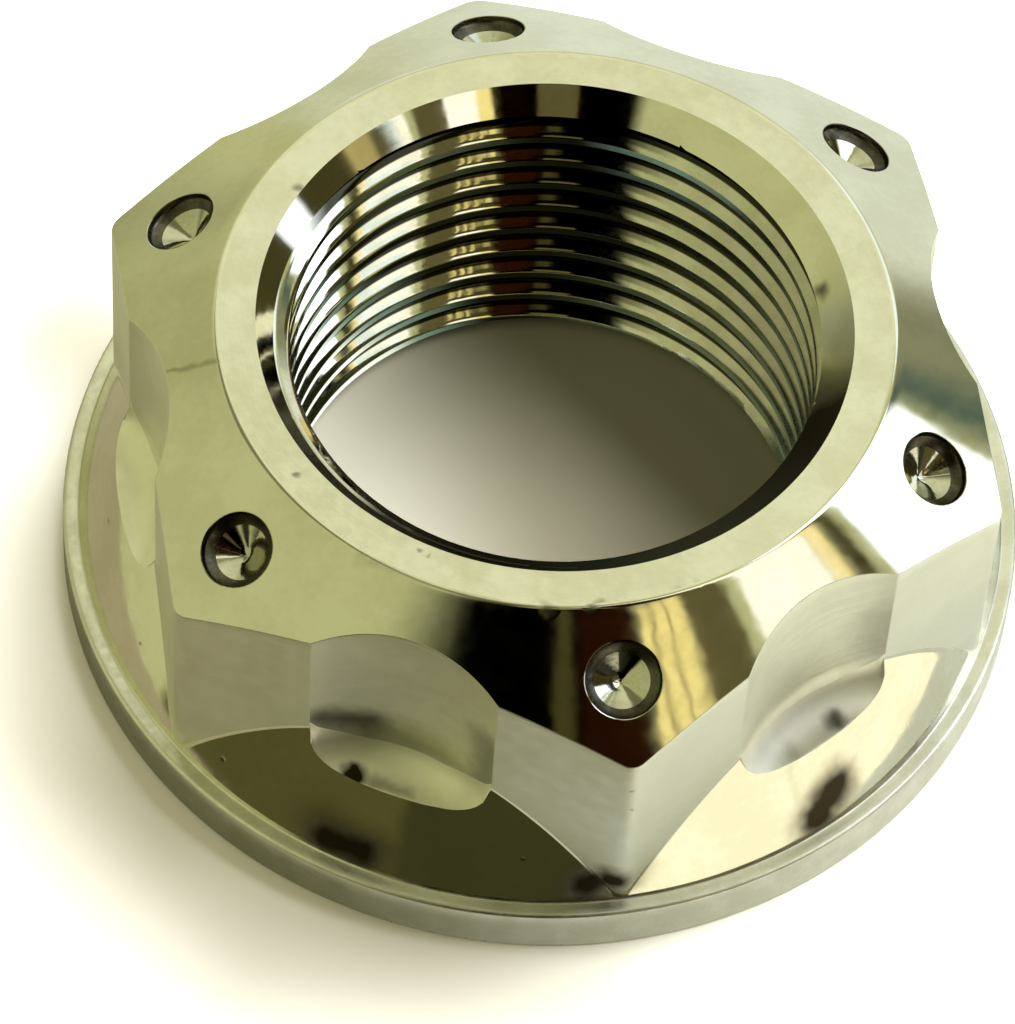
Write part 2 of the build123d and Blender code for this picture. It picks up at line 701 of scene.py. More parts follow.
    def corner_reaches(
        self, keys: list[np.ndarray], crossed: np.ndarray, on_flat: np.ndarray
    ) -> list[np.ndarray]:
        """How far each corner's curve reaches along its two stretches, a limited share of either.

        Args:
            keys: Corners of every column's section.
            crossed: Which columns cross a pocket.
            on_flat: Which columns end on the flat's own plane.

        Returns:
            The reach at each corner, one for each column.
        """
        wanted = [
            self.crown_reach,
            self.edge_reach,
            0.0,
            np.where(crossed, self.edge_reach, 0.0),
            np.where(on_flat, self.skirt_blend_reach, self.edge_reach),
            self.lip_reach,
            self.rim_reach,
            self.rim_reach,
        ]
        lengths = [np.linalg.norm(b - a, axis=-1) for a, b in zip(keys, keys[1:])]
        reaches = [
            np.minimum(most, self.curve_share * np.minimum(before, after))
            for most, before, after in zip(wanted, lengths, lengths[1:])
        ]
        ends = np.zeros(len(crossed))
        return [ends, *reaches, ends]

    @staticmethod
    def corner_curve(
        before: np.ndarray, corner: np.ndarray, after: np.ndarray, steps: int
    ) -> list[np.ndarray]:
        """Rows of a quadratic curve from one stretch to the next, without its first row."""
        shares = [step / steps for step in range(1, steps + 1)]
        return [(1 - t) ** 2 * before + 2 * t * (1 - t) * corner + t**2 * after for t in shares]

    def add_to(self, mesh: PieceMesh) -> tuple[np.ndarray, np.ndarray]:
        """Adds the outside with its drill marks to a mesh.

        Args:
            mesh: Mesh that takes the points and triangles.

        Returns:
            Point numbers of the upper mouth's edge and of the lower mouth's edge.
        """
        section, zones = self.rows()
        azimuth = self.columns.azimuths
        radius, height = section[..., 0], section[..., 1]
        points = turned_points(radius, azimuth, height)
        numbers = mesh.add_points(points)
        wrapped = np.concatenate([numbers, numbers[:, :1]], axis=1)
        keep = np.ones(zones.shape, bool)
        top = self.cone_first_row + self.window_rows[0]
        bottom = self.cone_first_row + self.window_rows[1]
        reach = int(np.searchsorted(self.columns.half_side(), math.radians(self.window_degrees)))
        count = len(azimuth)
        for corner in range(0, count, count // self.sizes.sides):
            span = np.arange(corner - reach, corner + reach + 1) % count
            keep[top:bottom, span[:-1]] = False
            left = numbers[top:bottom, span[0]]
            right = numbers[top + 1 : bottom + 1, span[-1]][::-1]
            along_bottom, along_top = numbers[bottom, span[:-1]], numbers[top, span[:0:-1]]
            edge = np.concatenate([left, along_bottom, right, along_top])[::-1]
            places = points.reshape(-1, 3)[edge - numbers[0, 0]]
            DrillMark(self.sizes, azimuth[corner]).add_to(mesh, edge, places)
        mesh.add_grid(wrapped, zones, keep)
        return numbers[0], numbers[-1]


@dataclass
class DrillMark:
    """One drill mark on the cone: a short round wall and a pointed bottom, in rings of spokes."""

    sizes: NutSizes
    azimuth: float
    lip: float = 0.05
    bend_share: float = 0.3
    ring_shares: tuple[float, ...] = (0.6, 0.3, 0.12, 0.0)
    point_shares: tuple[tuple[float, float], ...] = (
        (0.74, 0.26), (0.5, 0.5), (0.25, 0.75), (0.06, 0.93)
    )
    tip_share: float = 0.94

    def axes(self) -> tuple[np.ndarray, np.ndarray, np.ndarray, np.ndarray]:
        """Finds where the mark lies on the cone and how it is turned.

        Returns:
            Its centre, and its sideways, downhill and outward directions.
        """
        s = self.sizes
        slope = math.radians(s.crown_slope)
        out = np.array([math.cos(self.azimuth), math.sin(self.azimuth), 0.0])
        up = np.array([0.0, 0.0, 1.0])
        centre = out * s.mark_pitch_radius + up * s.cone_height(s.mark_pitch_radius)
        sideways = np.array([-out[1], out[0], 0.0])
        downhill = out * math.cos(slope) - up * math.sin(slope)
        outward = out * math.sin(slope) + up * math.cos(slope)
        return centre, sideways, downhill, outward

    def on_cone(self, points: np.ndarray) -> np.ndarray:
        """Slides points along the drill's axis until they lie on the cone.

        Each step moves a point by its height over the cone, divided by how fast that height
        changes along the axis, and a few steps settle it.

        Args:
            points: Points near the cone's surface.

        Returns:
            The points on the surface.
        """
        outward = self.axes()[3]
        steps = 6
        for _ in range(steps):
            radius = np.linalg.norm(points[:, :2], axis=1)
            over = points[:, 2] - self.sizes.cone_height(radius)
            leaning = (points[:, :2] @ outward[:2]) / radius
            rate = outward[2] + leaning * self.sizes.crown_drop
            points = points - (over / rate)[:, None] * outward
        return points

    def add_to(self, mesh: PieceMesh, edge_numbers: np.ndarray, edge_points: np.ndarray) -> None:
        """Adds the mark inside a window of the grid.

        Args:
            mesh: Mesh that takes the points and triangles.
            edge_numbers: Numbers of the window's edge, once round.
            edge_points: Places of the same points.
        """
        s = self.sizes
        centre, sideways, downhill, outward = self.axes()
        offset = edge_points - centre
        angle = np.arctan2(offset @ downhill, offset @ sideways)
        spokes = np.cos(angle)[:, None] * sideways + np.sin(angle)[:, None] * downhill
        rim = self.on_cone(centre + spokes * (s.mark_radius + self.lip))
        rings = [edge_numbers]
        for share in self.ring_shares:
            between = rim + (edge_points - rim) * share
            rings.append(mesh.add_points(self.on_cone(between)))
        inner = self.on_cone(centre + spokes * s.mark_radius)
        surface = (inner - centre) @ outward
        point_depth = s.mark_radius / math.tan(math.radians(s.mark_point_angle / 2))
        bent = self.bend_share * self.lip
        below = [
            (s.mark_radius + bent, surface - bent),
            (s.mark_radius, surface - self.lip),
            (s.mark_radius, (surface - s.mark_rim_depth) / 2),
            (s.mark_radius, -s.mark_rim_depth + self.lip),
            (s.mark_radius - self.lip, -s.mark_rim_depth - self.lip * point_depth / s.mark_radius),
        ]
        below += [
            (s.mark_radius * out, -s.mark_rim_depth - point_depth * down)
            for out, down in self.point_shares
        ]
        for radius, rise in below:
            lifted = np.multiply.outer(np.broadcast_to(rise, angle.shape), outward)
            rings.append(mesh.add_points(centre + spokes * radius + lifted))
        grid = np.stack(rings)
        wrapped = np.concatenate([grid, grid[:, :1]], axis=1)
        outer_rings = len(self.ring_shares)
        zones = np.full((len(rings) - 1, len(angle)), Zone.DRILL_MARKS)
        zones[:outer_rings] = Zone.CONE
        zones[outer_rings + 1 : 1 - len(self.point_shares)] = Zone.MARK_WALLS
        mesh.add_grid(wrapped, zones)
        tip_depth = s.mark_rim_depth + point_depth * self.tip_share
        tip = mesh.add_points(centre - outward * tip_depth)
        last = wrapped[-1]
        fan = np.stack([last[:-1], np.broadcast_to(tip, len(angle)), last[1:]], -1)
        mesh.add_triangles(fan, np.array(Zone.DRILL_MARKS))


@dataclass
class Bore:
    """Threaded bore with its two countersunk mouths, as rows that climb with the helix."""

    sizes: NutSizes
    columns: Columns
    half_stations: tuple[float, ...] = (0.06, 0.165, 0.21, 0.34, 0.48, 0.59, 0.655)
    flank_rise: float = 1.43
    root_rise: float = 3.6
    root_start: float = 0.589
    edge_gap: float = 0.06
    touching: float = 1e-9
    thread_turns: int = 13

    def crest_height(self, azimuth: np.ndarray) -> np.ndarray:
        """Height of the top turn's crest, which climbs one pitch for each turn anticlockwise.

        Args:
            azimuth: Azimuths of the points.

        Returns:
            The height of the crest's middle at each point.
        """
        s = self.sizes
        turned = (azimuth - math.radians(s.crest_start_azimuth)) / (2 * math.pi)
        crest_width = s.pitch / 4
        return s.height - s.crest_start_below_top - crest_width / 2 + s.pitch * turned

    def thread_radius(self, height: np.ndarray, azimuth: np.ndarray) -> np.ndarray:
        """Radius of the thread: a flat crest, slightly hollow flanks and a flat root.

        The depth grows in proportion to the distance from the crest's edge, faster from where
        the root's round starts, and is held between nought and the thread's full depth.

        Args:
            height: Heights of the points.
            azimuth: Azimuths of the points.

        Returns:
            The radius at each point.
        """
        s = self.sizes
        over = height - self.crest_height(azimuth)
        near = np.abs((over + s.pitch / 2) % s.pitch - s.pitch / 2)
        flank = (near - s.pitch / 8) * self.flank_rise
        bend = (self.root_start - s.pitch / 8) * self.flank_rise
        depth = np.maximum(flank, bend + (near - self.root_start) * self.root_rise)
        return s.minor_radius + np.clip(depth, 0, s.major_radius - s.minor_radius)

    def mouth_radius(self, height: np.ndarray) -> np.ndarray:
        """Radius of the two countersinks at 45 degrees, whichever is the greater."""
        s = self.sizes
        return np.maximum(s.upper_mouth_radius - (s.height - height), s.lower_mouth_radius - height)

    def add_to(self, mesh: PieceMesh, upper_edge: np.ndarray, lower_edge: np.ndarray) -> None:
        """Adds the bore between the two mouths' edges.

        Args:
            mesh: Mesh that takes the points and triangles.
            upper_edge: Point numbers of the upper mouth's edge.
            lower_edge: Point numbers of the lower mouth's edge.
        """
        s = self.sizes
        azimuth = self.columns.azimuths[::2]
        half = np.array(self.half_stations)
        stations = np.concatenate([-half[::-1], half, [s.pitch / 2]])
        turns = np.arange(1 - self.thread_turns, 1)[:, None] * s.pitch + s.pitch
        climb = (turns + stations[None, :]).ravel()
        height = climb[:, None] + self.crest_height(azimuth)[None, :]
        height = np.clip(height, self.edge_gap, s.height - self.edge_gap)
        height = self.snapped(height, azimuth[None, :])
        thread = self.thread_radius(height, azimuth[None, :])
        mouth = self.mouth_radius(height)
        radius = np.maximum(thread, mouth)
        numbers = mesh.add_points(turned_points(radius, azimuth, height))
        onward = np.minimum(np.arange(len(climb)) + len(stations), len(climb) - 1)
        wrapped = np.concatenate([numbers, numbers[onward, :1]], axis=1)
        countersunk = mouth >= thread - self.touching
        beside = np.concatenate([countersunk[:, 1:], countersunk[onward, :1]], axis=1)
        both = countersunk & beside
        zones = np.where(both[:-1] & both[1:], Zone.MOUTHS, Zone.THREAD)
        mesh.add_grid(wrapped, zones)
        self.add_strip(mesh, lower_edge, numbers[0], rising=True)
        self.add_strip(mesh, upper_edge, numbers[-1], rising=False)

    def snapped(self, height: np.ndarray, azimuth: np.ndarray) -> np.ndarray:
        """Moves rows onto the lines where the thread runs into a countersink.

        Where the thread's radius less the countersink's changes sign between two rows, the
        crossing lies at its share of the step, and the nearer of the two rows is moved there.

        Args:
            height: Heights of the rows, one column for each azimuth.
            azimuth: The azimuths.

        Returns:
            The heights with those rows moved.
        """
        over = self.thread_radius(height, azimuth) - self.mouth_radius(height)
        low, high = over[:-1], over[1:]
        crossing = (low * high < 0) & (height[1:] > height[:-1])
        share = np.divide(low, low - high, out=np.zeros_like(low), where=crossing)
        place = height[:-1] + share * (height[1:] - height[:-1])
        moved = height.copy()
        moved[:-1] = np.where(crossing & (share < 0.5), place, moved[:-1])
        moved[1:] = np.where(crossing & (share >= 0.5), place, moved[1:])
        return moved

    @staticmethod
    def add_strip(mesh: PieceMesh, fine: np.ndarray, coarse: np.ndarray, rising: bool) -> None:
        """Joins a fine ring to a ring with half as many points, three triangles a step.

        Args:
            mesh: Mesh that takes the triangles.
            fine: Point numbers of the fine ring.
            coarse: Point numbers of the coarse ring.
            rising: True where the coarse ring lies above the fine one.
        """
        first, middle, last = fine[::2], fine[1::2], np.roll(fine, -2)[::2]
        near, far = coarse, np.roll(coarse, -1)
        triangles = np.concatenate([
            np.stack([first, near, middle], -1),
            np.stack([middle, near, far], -1),
            np.stack([middle, far, last], -1),
        ])
        mesh.add_triangles(triangles if rising else triangles[:, ::-1], np.array(Zone.MOUTHS))


class NodeSheet:
    """Node tree with short ways to add nodes, feed them and join them."""

    number_results: ClassVar[tuple[str, ...]] = ("LENGTH", "DISTANCE", "DOT_PRODUCT")

    def __init__(self, tree: bpy.types.NodeTree) -> None:
        """Takes a tree and empties it."""
        self.tree = tree
        tree.nodes.clear()

    @classmethod
    def of_material(cls, name: str) -> tuple[bpy.types.Material, "NodeSheet"]:
        """Makes a material with an empty sheet.

        Args:
            name: Name of the material.

        Returns:
            The material and its sheet.
        """
        material = bpy.data.materials.new(name)
        material.use_nodes = True
        return material, cls(material.node_tree)

    def add(
        self, kind: str, feeds: dict[str | int, Feed] | None = None, **settings: object
    ) -> bpy.types.Node:
        """Adds a node.

        Args:
            kind: The node's type.
            feeds: For each input, a plain value, a tint or the output that it is linked to.
            settings: Properties of the node itself.

        Returns:
            The node.
        """
        node = self.tree.nodes.new(kind)
        for name, value in settings.items():
            setattr(node, name, value)
        for socket, value in (feeds or {}).items():
            if isinstance(value, bpy.types.NodeSocket):
                self.tree.links.new(value, node.inputs[socket])
            else:
                plain = value.rgba if isinstance(value, Tint) else value
                node.inputs[socket].default_value = plain
        return node

    def first(self, kind: str, feeds: dict[str | int, Feed], **settings: object) -> Socket:
        """First output of a new node."""
        return self.add(kind, feeds, **settings).outputs[0]

    def show(self, shader: Socket, target: str = "Material") -> None:
        """Joins a shader to the material's or the world's output."""
        self.add(f"ShaderNodeOutput{target}", {"Surface": shader})

    @cached_property
    def place(self) -> Socket:
        """Place on the object, in millimetres."""
        metres = self.add("ShaderNodeTexCoord").outputs["Object"]
        return self.vector("SCALE", metres, scale=1 / MM)

    def parts(self, vector: Feed) -> tuple[Socket, ...]:
        """The x, y and z of a vector."""
        return tuple(self.add("ShaderNodeSeparateXYZ", {0: vector}).outputs)

    def math(self, operation: str, *values: Feed) -> Socket:
        """Result of one step of arithmetic on up to three values."""
        return self.first("ShaderNodeMath", dict(enumerate(values)), operation=operation)

    def total(self, start: Feed, values: list[Socket], weights: list[float]) -> Feed:
        """Adds values to a start, each times its weight.

        Args:
            start: What they are added to.
            values: The values.
            weights: Weight of each. Where it is nought, the value is left out.

        Returns:
            The total.
        """
        for value, weight in zip(values, weights):
            if weight:
                start = self.math("MULTIPLY_ADD", value, weight, start)
        return start

    def ease(
        self, value: Feed, start: float, end: float, low: float = 0.0, high: float = 1.0
    ) -> Socket:
        """Smooth change from low to high while the value goes from start to end."""
        feeds = {"Value": value, "From Min": start, "From Max": end, "To Min": low, "To Max": high}
        return self.first("ShaderNodeMapRange", feeds, interpolation_type="SMOOTHSTEP")

    def vector(
        self, operation: str, first: Feed, second: Feed | None = None, scale: Feed = 1.0
    ) -> Socket:
        """Adds one step of arithmetic on vectors.

        Args:
            operation: Its name.
            first: First vector.
            second: Second vector, where the step has one.
            scale: Factor, where the step is a scaling.

        Returns:
            The result, a number for lengths, distances and dot products.
        """
        feeds = {0: first} if second is None else {0: first, 1: second}
        if operation == "SCALE":
            feeds["Scale"] = scale
        node = self.add("ShaderNodeVectorMath", feeds, operation=operation)
        return node.outputs["Value" if operation in self.number_results else "Vector"]

    def from_axis(self) -> Socket:
        """Distance of the place from the thread's axis."""
        return self.vector("LENGTH", self.vector("MULTIPLY", self.place, (1.0, 1.0, 0.0)))

    def noise(self, size: float, detail: float) -> Socket:
        """Soft noise round a half, whose largest features have this size."""
        feeds = {"Vector": self.place, "Scale": 1 / size, "Detail": detail}
        return self.first("ShaderNodeTexNoise", feeds, noise_dimensions="3D")

    def mix(self, share: Feed, first: Feed, second: Feed) -> Socket:
        """Colour between two colours."""
        feeds = {0: share, 6: first, 7: second}
        return self.add("ShaderNodeMix", feeds, data_type="RGBA").outputs[2]

    def fade(self, value: Feed, span: tuple[float, float], first: Feed, second: Feed) -> Socket:
        """Colour that turns from the first to the second while the value crosses the span."""
        return self.mix(self.ease(value, *span), first, second)


@dataclass(frozen=True)
class Mark:
    """Pit, stained spot, scratch, painted shade or painted shadow, sunk at its middle and
    darker there, in millimetres.

    A long one runs straight from its place to its end, and a round one has no end.
    """

    place: Triple
    radius: float
    depth: float = 0.0
    shade: float = 0.6
    end: Triple | None = None

    def dip(self, sheet: NodeSheet, place: Socket) -> Socket:
        """Adds the nodes for the mark's strength, one at its middle and nought at its edge.

        Args:
            sheet: The material's nodes.
            place: Position in millimetres.

        Returns:
            The strength.
        """
        if self.end is None:
            away = sheet.vector("DISTANCE", place, self.place)
            return sheet.ease(away, self.radius, 0.0)
        along = Vector(self.end) - Vector(self.place)
        offset = sheet.vector("SUBTRACT", place, self.place)
        step = along / along.length_squared
        projected = sheet.vector("DOT_PRODUCT", offset, tuple(step))
        share = sheet.first("ShaderNodeClamp", {0: projected})
        nearest = sheet.vector("SCALE", tuple(along), scale=share)
        return sheet.ease(sheet.vector("DISTANCE", offset, nearest), self.radius, 0.0)


@dataclass(frozen=True)
class Panel:
    """Card, lamp or opening round the nut, placed by the direction in which the nut sees it.

    Azimuth is nought in front of the nut and grows towards +X, and all angles are in degrees.
    A panel leans by so many degrees of azimuth for each degree of elevation. Later panels cover
    earlier ones.
    """

    azimuth: float
    elevation: float
    width: float
    height: float
    tint: Tint
    soft: float = 4.0
    soft_ends: float = 8.0
    lean: float = 0.0
    opacity: float = 1.0

    def cover(self, sheet: NodeSheet, azimuth: Feed, elevation: Feed) -> Socket:
        """Adds the nodes that say how much of the view the panel covers in each direction.

        Args:
            sheet: The world's nodes.
            azimuth: Azimuth of the direction in degrees.
            elevation: Its elevation in degrees.

        Returns:
            The share, nought outside the panel.
        """
        above = sheet.math("SUBTRACT", elevation, self.elevation)
        level = sheet.math("MULTIPLY_ADD", above, -self.lean, azimuth)
        off = sheet.math("SUBTRACT", level, self.azimuth)
        aside = sheet.math("WRAP", off, 180.0, -180.0)
        across = self.within(sheet, aside, self.width, self.soft, 1.0)
        along = self.within(sheet, above, self.height, self.soft_ends, self.opacity)
        return sheet.math("MULTIPLY", across, along)

    @staticmethod
    def within(sheet: NodeSheet, off: Socket, width: float, soft: float, most: float) -> Socket:
        """The most inside a width, nought outside it, and a soft change over both its edges."""
        half, gap = width / 2, soft / 2
        return sheet.ease(sheet.math("ABSOLUTE", off), half + gap, half - gap, 0.0, most)


@dataclass(frozen=True)
class Studio:
    """Pale floor, one soft key light and the surroundings that the metal reflects."""

    floor_half: float = 1.5
    floor_gap: float = 0.00002
    shadows: tuple[Mark, ...] = (
        Mark((-17.4, 12.4, 0.0), 7.0, 0.0, 0.52),
        Mark((-13.6, -18.3, 0.0), 5.5, 0.0, 0.24, (-1.9, -21.1, 0.0)),
    )
    key_azimuth: float = 122.0
    key_elevation: float = 37.0
    key_distance: float = 0.6
    key_size: float = 0.85
    key_power: float = 25.0
    shade_radius: float = 25.0
    shade_gap: float = 0.01
    panels: tuple[Panel, ...] = (
        Panel(0, 96, 360, 36, Tint.ZENITH, soft_ends=14),
        Panel(168, 52, 70, 50, Tint.PALE_HAZE, soft=30, soft_ends=24),
        Panel(-146, 62, 42, 28, Tint.ZENITH, soft=12, soft_ends=8, opacity=0.9),
        Panel(-138, 18, 30, 40, Tint.DIM_HAZE, soft=24, soft_ends=24, opacity=0.6),
        Panel(-132, 2, 50, 16, Tint.MOSS, soft=16, soft_ends=10, opacity=0.9),
        Panel(-36, 70, 26, 36, Tint.BLACK, soft=26, soft_ends=14, opacity=0.9),
        Panel(-9, 38, 56, 74, Tint.BLACK, soft=7, soft_ends=6),
        Panel(135, 34, 30, 20, Tint.COOL_WHITE, soft=6, soft_ends=6),
        Panel(-8, 38, 14, 8, Tint.BROWN, soft=1.0, soft_ends=3),
        Panel(-2, 62, 6, 16, Tint.OLIVE, soft=3),
        Panel(13, 52, 20, 26, Tint.RED_BROWN, soft=6, soft_ends=8),
        Panel(36, 71, 32, 18, Tint.RED_BROWN, soft=3, soft_ends=2),
        Panel(25.2, 44.5, 14, 31, Tint.GOLD, soft=1.2, soft_ends=2, lean=0.4),
        Panel(27.4, 59, 1.3, 24, Tint.BROWN, soft=1.4, lean=0.4, opacity=0.75),
        Panel(32.6, 59, 1.1, 24, Tint.BROWN, soft=1.4, lean=0.4, opacity=0.75),
        Panel(26.5, 46.6, 18, 15, Tint.OLIVE, soft=2, soft_ends=2, lean=0.4),
        Panel(44, 55, 14, 80, Tint.BROWN, soft=2, lean=0.4),
        Panel(27.5, 50, 1.6, 8, Tint.GOLD, soft=1, soft_ends=3, lean=0.4, opacity=0.8),
        Panel(31.3, 50, 1.8, 8, Tint.GOLD, soft=1, soft_ends=3, lean=0.4, opacity=0.9),
        Panel(35, 50, 1.6, 8, Tint.GOLD, soft=1, soft_ends=3, lean=0.4, opacity=0.9),
        Panel(63.2, 48, 22.6, 90, Tint.YELLOW_WHITE, soft=2, lean=0.45),
        Panel(74, 42, 4, 70, Tint.ORANGE, soft=1.5, lean=0.45),
        Panel(78, 40, 4, 70, Tint.OLIVE, soft=2.5, lean=0.45),
        Panel(60.5, 35, 21, 14, Tint.COOL_WHITE, soft=3, soft_ends=3, lean=0.35),
        Panel(44, 18.7, 52, 21, Tint.BROWN, soft=3, soft_ends=2),
        Panel(8, 2, 136, 16, Tint.BLACK, soft=6, soft_ends=4, opacity=0.95),
        Panel(61, 26.5, 9, 6, Tint.GOLD, soft=3, soft_ends=2, opacity=0.4),
        Panel(25.5, 35, 11, 8, Tint.YELLOW_WHITE, soft=1.5, soft_ends=2),
        Panel(94, 32, 28, 70, Tint.DAYLIGHT, soft=3, lean=0.4),
        Panel(76, 16, 18, 22, Tint.OLIVE, soft=4, soft_ends=4),
        Panel(113, 17, 7, 34, Tint.TEAL, soft=4, lean=-0.4),
        Panel(119.5, 17, 11, 34, Tint.MOSS, soft=5, lean=-0.4),
        Panel(106.5, 3, 24, 24, Tint.OLIVE, soft=4, soft_ends=3),
        Panel(157, -6, 62, 44, Tint.CREAM, soft=12, soft_ends=16),
        Panel(-130, -50, 100, 94, Tint.OLIVE_HAZE, soft=30, soft_ends=6),
        Panel(-52, -30, 97, 50, Tint.DARK_OLIVE, soft=4, soft_ends=10, lean=0.83),
        Panel(-14, -24, 45, 44, Tint.DEEP_OLIVE, soft=4, soft_ends=10),
        Panel(27, -25, 37, 44, Tint.WARM_WHITE, soft=2, soft_ends=6),
        Panel(78, -30, 66, 54, Tint.WARM_WHITE, soft=6, soft_ends=6),
        Panel(-60, -75, 150, 60, Tint.TAUPE, soft=60, soft_ends=20),
        Panel(-145, -70, 90, 38, Tint.MOSS, soft=40, soft_ends=12),
        Panel(90, -75, 150, 50, Tint.STONE, soft=60, soft_ends=20),
        Panel(122, -61, 66, 46, Tint.PALE_STONE, soft=30, soft_ends=16),
    )

    def build(self) -> None:
        """Makes the floor, the key light and the surroundings."""
        self.build_floor()
        self.build_shade()
        self.build_key()
        self.build_surroundings()

    def build_floor(self) -> None:
        """Lays a square card just under the nut, which the metal doesn't mirror.

        The paper under the bore is shaded, more so towards the right, and so are two soft
        patches beside the flange.
        """
        half = self.floor_half
        corners = [(-half, -half), (half, -half), (half, half), (-half, half)]
        mesh = bpy.data.meshes.new("floor")
        mesh.from_pydata([(x, y, -self.floor_gap) for x, y in corners], [], [(0, 1, 2, 3)])
        paper, sheet = NodeSheet.of_material("paper")
        mesh.materials.append(paper)
        x = sheet.parts(sheet.place)[0]
        # Painted shade under the bore, deeper to the right, and two painted shadows by the flange.
        rightwards, bore_edge = (-9.0, 1.0), (11.0, 13.0)
        shaded = sheet.fade(x, rightwards, Tint.SHADED_PAPER, Tint.DEEP_SHADE_PAPER)
        dips = [patch.dip(sheet, sheet.place) for patch in self.shadows]
        shadow = sheet.total(0.0, dips, [patch.shade for patch in self.shadows])
        open_paper = sheet.mix(shadow, Tint.PAPER, Tint.SHADOW)
        away = sheet.vector("LENGTH", sheet.place)
        colour = sheet.fade(away, bore_edge, shaded, open_paper)
        sheet.show(sheet.first("ShaderNodeBsdfDiffuse", {"Color": colour}))
        floor = add_object("floor", mesh)
        floor.visible_glossy = False

    def build_shade(self) -> None:
        """Lays a round card under the nut that only reflections see, glowing as painted shade of
        the floor there.

        Inside the bore it is black in the middle, dim on the right, teal on the left and a painted
        highlight at the back left. Near the rim it goes from dark olive on the left to pale, and
        further out from olive to pale.
        """
        count = 96
        angle = 2 * math.pi * np.arange(count) / count
        edge = turned_points(self.shade_radius, angle, 0 * angle - self.shade_gap) * MM
        mesh = bpy.data.meshes.new("shade")
        mesh.from_pydata(edge.tolist(), [], [list(range(count))])
        card, sheet = NodeSheet.of_material("shade")
        mesh.materials.append(card)
        x, y, _ = sheet.parts(sheet.place)
        away = sheet.vector("LENGTH", sheet.place)
        to_right, to_left, under_metal, rim = (1.0, 7.0), (0.0, -3.0), 15.0, (20.4, 21.0)
        leftwards, backwards = (-2.5, -5.0), (2.0, 5.0)
        near_span, far_span = (-14.0, 17.0), (-22.0, 5.0)
        inside = sheet.fade(x, to_right, Tint.BORE_MIDDLE, Tint.BORE_RIGHT)
        inside = sheet.fade(x, to_left, inside, Tint.BORE_LEFT)
        # Painted highlight at the back left of the bore.
        glare = sheet.math("MULTIPLY", sheet.ease(x, *leftwards), sheet.ease(y, *backwards))
        inside = sheet.mix(glare, inside, Tint.BORE_GLARE)
        near = sheet.fade(x, near_span, Tint.NEAR_LEFT, Tint.NEAR_RIGHT)
        far = sheet.fade(x, far_span, Tint.FAR_LEFT, Tint.FAR_RIGHT)
        outside = sheet.fade(away, rim, near, far)
        beyond = sheet.math("GREATER_THAN", away, under_metal)
        colour = sheet.mix(beyond, inside, outside)
        sheet.show(sheet.first("ShaderNodeEmission", {"Color": colour}))
        shade = add_object("shade", mesh)
        shade.visible_camera = shade.visible_diffuse = shade.visible_shadow = False
        shade.visible_transmission = shade.visible_volume_scatter = False

    def build_key(self) -> None:
        """Hangs a soft square light behind and to the right, which the metal doesn't mirror."""
        towards = direction(self.key_azimuth, self.key_elevation)
        light = bpy.data.lights.new("key", "AREA")
        light.size = self.key_size
        light.energy = self.key_power
        key = add_object("key", light)
        key.location = towards * self.key_distance
        key.rotation_euler = towards.to_track_quat("Z", "Y").to_euler()
        key.visible_glossy = False

    def build_surroundings(self) -> None:
        """Paints the panels over a hazy ground, for the metal's reflections alone.

        The camera sees the backdrop behind the floor, and diffuse light comes from the fill.
        """
        world = bpy.data.worlds.new("surroundings")
        world.use_nodes = True
        bpy.context.scene.world = world
        sheet = NodeSheet(world.node_tree)
        x, y, z = sheet.parts(sheet.add("ShaderNodeTexCoord").outputs["Generated"])
        degrees = 180 / math.pi
        front = sheet.math("MULTIPLY", y, -1.0)
        azimuth = sheet.math("MULTIPLY", sheet.math("ARCTAN2", x, front), degrees)
        elevation = sheet.math("MULTIPLY", sheet.math("ARCSINE", z), degrees)
        colour: Feed = Tint.OLIVE_HAZE
        for panel in self.panels:
            colour = sheet.mix(panel.cover(sheet, azimuth, elevation), colour, panel.tint)
        path = sheet.add("ShaderNodeLightPath").outputs
        fill, backdrop, mirrored = (
            sheet.first("ShaderNodeBackground", {"Color": shown})
            for shown in (Tint.FILL, Tint.BACKDROP, colour)
        )
        feeds = {0: path["Is Camera Ray"], 1: fill, 2: backdrop}
        plain = sheet.first("ShaderNodeMixShader", feeds)
        feeds = {0: path["Is Glossy Ray"], 1: plain, 2: mirrored}
        sheet.show(sheet.first("ShaderNodeMixShader", feeds), "World")
        world.cycles.sampling_method = "NONE"
        log.info("surroundings: %d panels", len(self.panels))


@dataclass(frozen=True)
class MatchedCamera:
    """Camera that stands where the photograph's camera stood, sizes in millimetres and degrees."""

    aim: Triple = (-3.277, -8.454, 14.8)
    distance: float = 244.03
    azimuth: float = -12.915
    elevation: float = 55.896
    roll: float = 4.156
    lens: float = 230.47
    sensor: float = 36.0
    reach_metres: tuple[float, float] = (0.01, 20.0)

    def axes(self) -> tuple[Vector, Vector, Vector]:
        """Works out how the camera is turned.

        Returns:
            Its right, up and backward directions.
        """
        back = direction(self.azimuth, self.elevation)
        level = Vector((0, 0, 1)).cross(back).normalized()
        upright = back.cross(level)
        roll = math.radians(self.roll)
        right = level * math.cos(roll) + upright * math.sin(roll)
        return right, back.cross(right), back

    def build(self) -> None:
        """Makes the camera and gives it to the scene."""
        data = bpy.data.cameras.new("camera")
        data.sensor_fit, data.sensor_width, data.lens = "HORIZONTAL", self.sensor, self.lens
        data.clip_start, data.clip_end = self.reach_metres
        right, up, back = self.axes()
        place = Matrix((right, up, back)).transposed().to_4x4()
        place.translation = (Vector(self.aim) + back * self.distance) * MM
        camera = add_object("camera", data)
        camera.matrix_world = place
        bpy.context.scene.camera = camera
        log.info("camera: %.1f mm away, lens %.1f mm", self.distance, self.lens)


def set_picture() -> None:
    """Shows colours as they are, with the noise filtered."""
    scene = bpy.context.scene
    scene.view_settings.view_transform = "Standard"
    scene.cycles.use_denoising = True


